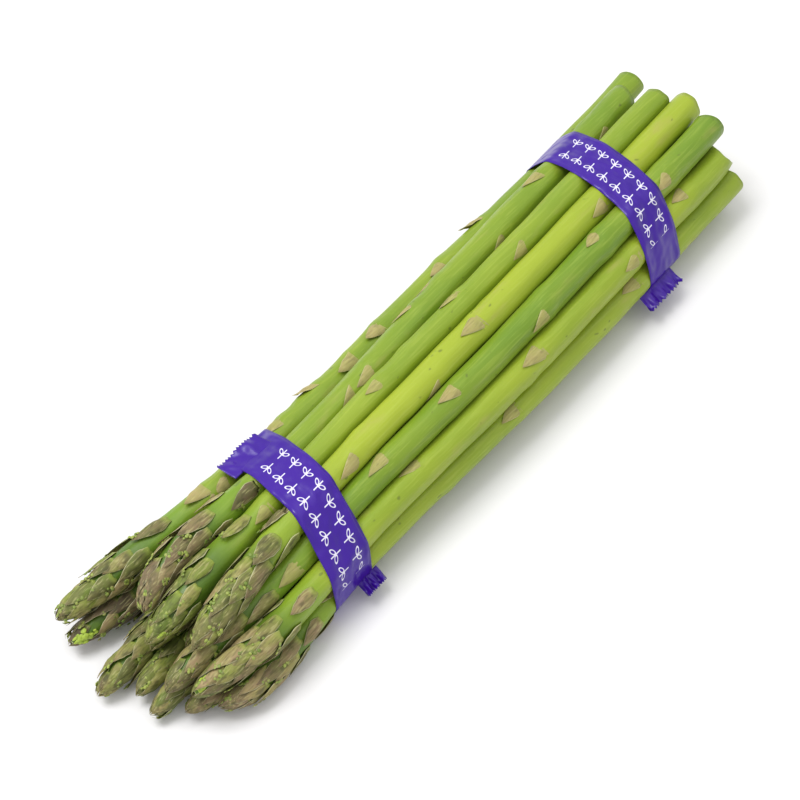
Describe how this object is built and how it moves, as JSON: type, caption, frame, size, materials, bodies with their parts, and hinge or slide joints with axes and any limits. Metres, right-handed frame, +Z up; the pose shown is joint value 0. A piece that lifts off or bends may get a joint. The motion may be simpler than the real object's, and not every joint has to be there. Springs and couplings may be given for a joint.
{
  "type": "bundle of asparagus",
  "caption": "Flattened bundle of fresh green asparagus spears lying on its side, tied with a glossy tape band near the heads and another near the cut ends.",
  "frame": {"origin": "on the surface the bundle lies on, under the middle of its outer box", "axes": "+X along the bundle towards the cut ends, the heads at -X, +Z up"},
  "size_m": [0.2696, 0.065, 0.0332],
  "materials": {
    "spear": "waxy green vegetable skin, yellow-green to mid green, with olive and brownish-pink scale leaves",
    "tape": "thin glossy blue-violet plastic tape with a small white print of leaves and dots"
  },
  "bodies": {
    "root": {"spear_01": "spear", "spear_02": "spear", "spear_03": "spear", "spear_04": "spear", "spear_05": "spear", "spear_06": "spear", "spear_07": "spear", "spear_08": "spear", "spear_09": "spear", "spear_10": "spear", "spear_11": "spear", "spear_12": "spear", "spear_13": "spear", "spear_14": "spear", "spear_15": "spear", "spear_16": "spear", "spear_17": "spear", "spear_18": "spear", "band_tips": "tape", "band_butts": "tape"}
  },
  "joints": []
}
